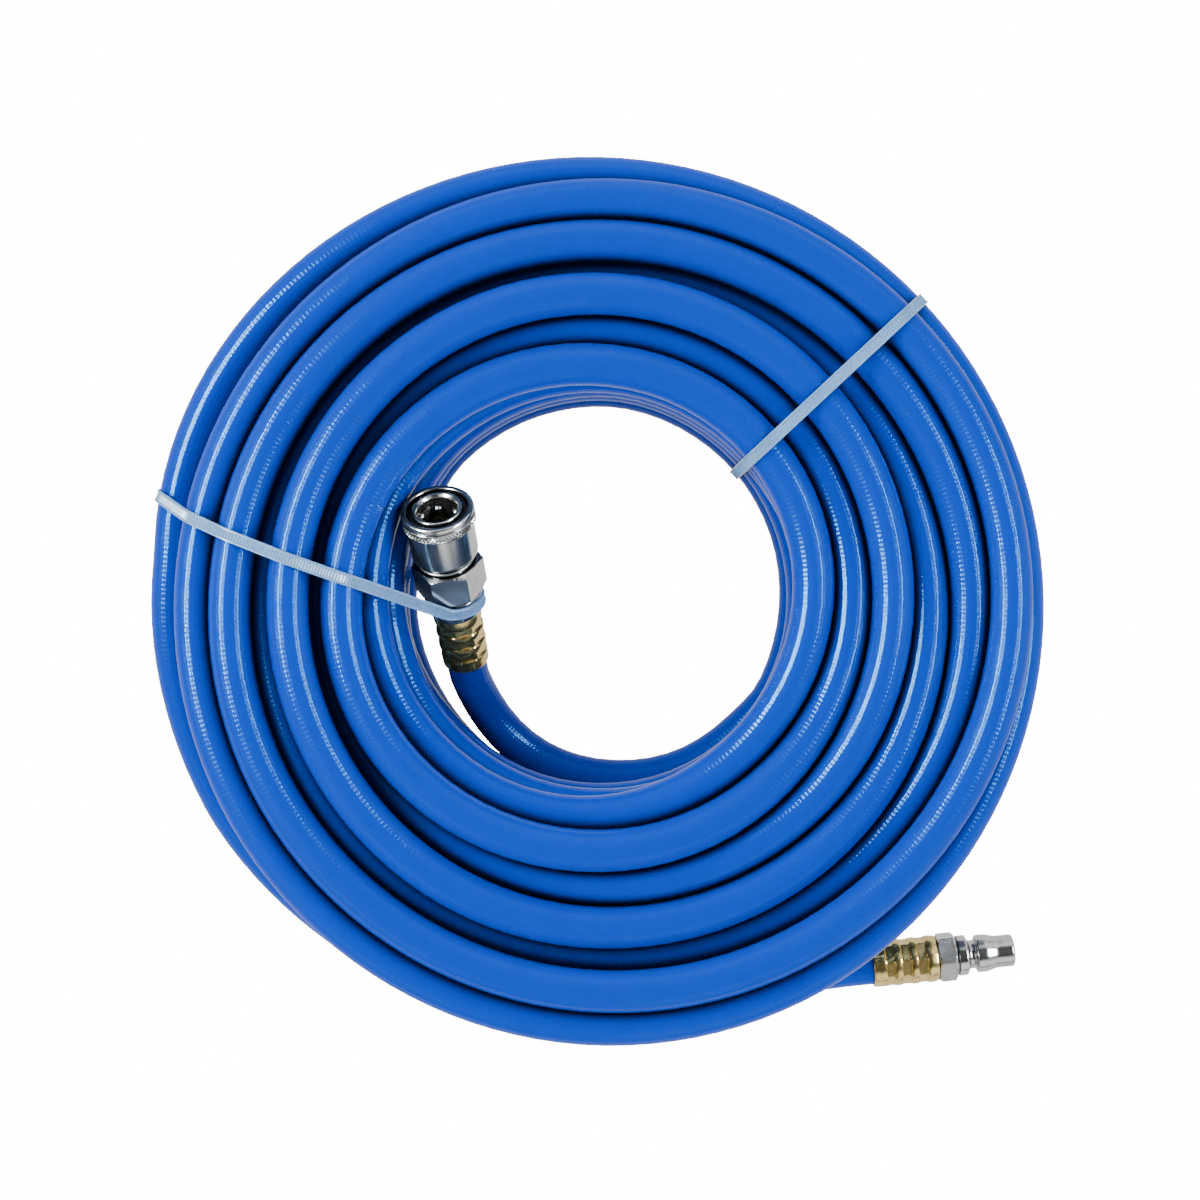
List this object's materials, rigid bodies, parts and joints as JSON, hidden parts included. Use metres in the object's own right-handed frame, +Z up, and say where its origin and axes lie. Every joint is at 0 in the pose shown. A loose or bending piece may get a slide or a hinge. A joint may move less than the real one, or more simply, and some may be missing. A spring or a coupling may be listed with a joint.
{
  "type": "coiled air hose",
  "caption": "Flat round coil of blue braided air hose held by cable ties, with a quick coupler socket on one end and a plug on the other.",
  "frame": {"origin": "centre of the coil on the surface that it lies on", "axes": "+Z up along the axis of the coil, +X towards the end where the plug points, +Y towards the side that the socket leans to"},
  "size_m": [0.267, 0.267, 0.0739],
  "materials": {
    "hose_pvc": "blue soft polyvinyl chloride over a fine textile braid, satin gloss",
    "nickel_plate": "polished nickel plate on turned steel",
    "ball_steel": "ground and polished bearing steel",
    "spring_steel": "drawn stainless spring wire",
    "ring_steel": "blackened spring steel",
    "seal_rubber": "black nitrile rubber",
    "gasket_fibre": "dark pressed fibre",
    "valve_brass": "turned brass",
    "ferrule_brass": "bright brass tube, crimped",
    "tie_nylon": "natural translucent nylon"
  },
  "bodies": {
    "hose": {"hose_coil": "hose_pvc", "hose_socket_lead": "hose_pvc", "hose_plug_lead": "hose_pvc", "hose_socket_end": "hose_pvc", "hose_plug_end": "hose_pvc", "socket_body": "nickel_plate", "sleeve_spring": "spring_steel", "sleeve_stop_ring": "ring_steel", "plug_packing": "seal_rubber", "valve_spring": "spring_steel", "hose_adapter": "nickel_plate", "adapter_gasket": "gasket_fibre", "socket_ferrule": "ferrule_brass", "plug_body": "nickel_plate", "plug_ferrule": "ferrule_brass", "cable_tie_right": "tie_nylon", "cable_tie_left": "tie_nylon"},
    "sleeve": {"socket_sleeve": "nickel_plate"},
    "valve": {"valve_poppet": "valve_brass", "valve_seal": "seal_rubber"},
    "ball_1": {"lock_ball_1": "ball_steel"},
    "ball_2": {"lock_ball_2": "ball_steel"},
    "ball_3": {"lock_ball_3": "ball_steel"},
    "ball_4": {"lock_ball_4": "ball_steel"},
    "ball_5": {"lock_ball_5": "ball_steel"},
    "ball_6": {"lock_ball_6": "ball_steel"}
  },
  "joints": [
    {"name": "sleeve_slide", "type": "slide", "parent": "hose", "child": "sleeve", "axis": [0.105, -0.7474, -0.6561], "range_m": [0, 0.003], "stiffness_N_per_m": 2000, "springref_m": -0.004, "deforming": ["sleeve_spring"]},
    {"name": "valve_slide", "type": "slide", "parent": "hose", "child": "valve", "axis": [0.105, -0.7474, -0.6561], "range_m": [0, 0.003], "stiffness_N_per_m": 500, "springref_m": -0.004, "deforming": ["valve_spring"]},
    {"name": "ball_1_slide", "type": "slide", "parent": "hose", "child": "ball_1", "axis": [-0.0913, 0.6497, -0.7547], "range_m": [0, 0.0013]},
    {"name": "ball_2_slide", "type": "slide", "parent": "hose", "child": "ball_2", "axis": [-0.9033, 0.2043, -0.3774], "range_m": [0, 0.0013]},
    {"name": "ball_3_slide", "type": "slide", "parent": "hose", "child": "ball_3", "axis": [-0.8119, -0.4454, 0.3774], "range_m": [0, 0.0013]},
    {"name": "ball_4_slide", "type": "slide", "parent": "hose", "child": "ball_4", "axis": [0.0913, -0.6497, 0.7547], "range_m": [0, 0.0013]},
    {"name": "ball_5_slide", "type": "slide", "parent": "hose", "child": "ball_5", "axis": [0.9033, -0.2043, 0.3774], "range_m": [0, 0.0013]},
    {"name": "ball_6_slide", "type": "slide", "parent": "hose", "child": "ball_6", "axis": [0.8119, 0.4454, -0.3774], "range_m": [0, 0.0013]}
  ],
  "couplings": [
    {"joint": "ball_1_slide", "follows": "sleeve_slide", "ratio": 0.43333},
    {"joint": "ball_2_slide", "follows": "sleeve_slide", "ratio": 0.43333},
    {"joint": "ball_3_slide", "follows": "sleeve_slide", "ratio": 0.43333},
    {"joint": "ball_4_slide", "follows": "sleeve_slide", "ratio": 0.43333},
    {"joint": "ball_5_slide", "follows": "sleeve_slide", "ratio": 0.43333},
    {"joint": "ball_6_slide", "follows": "sleeve_slide", "ratio": 0.43333}
  ]
}
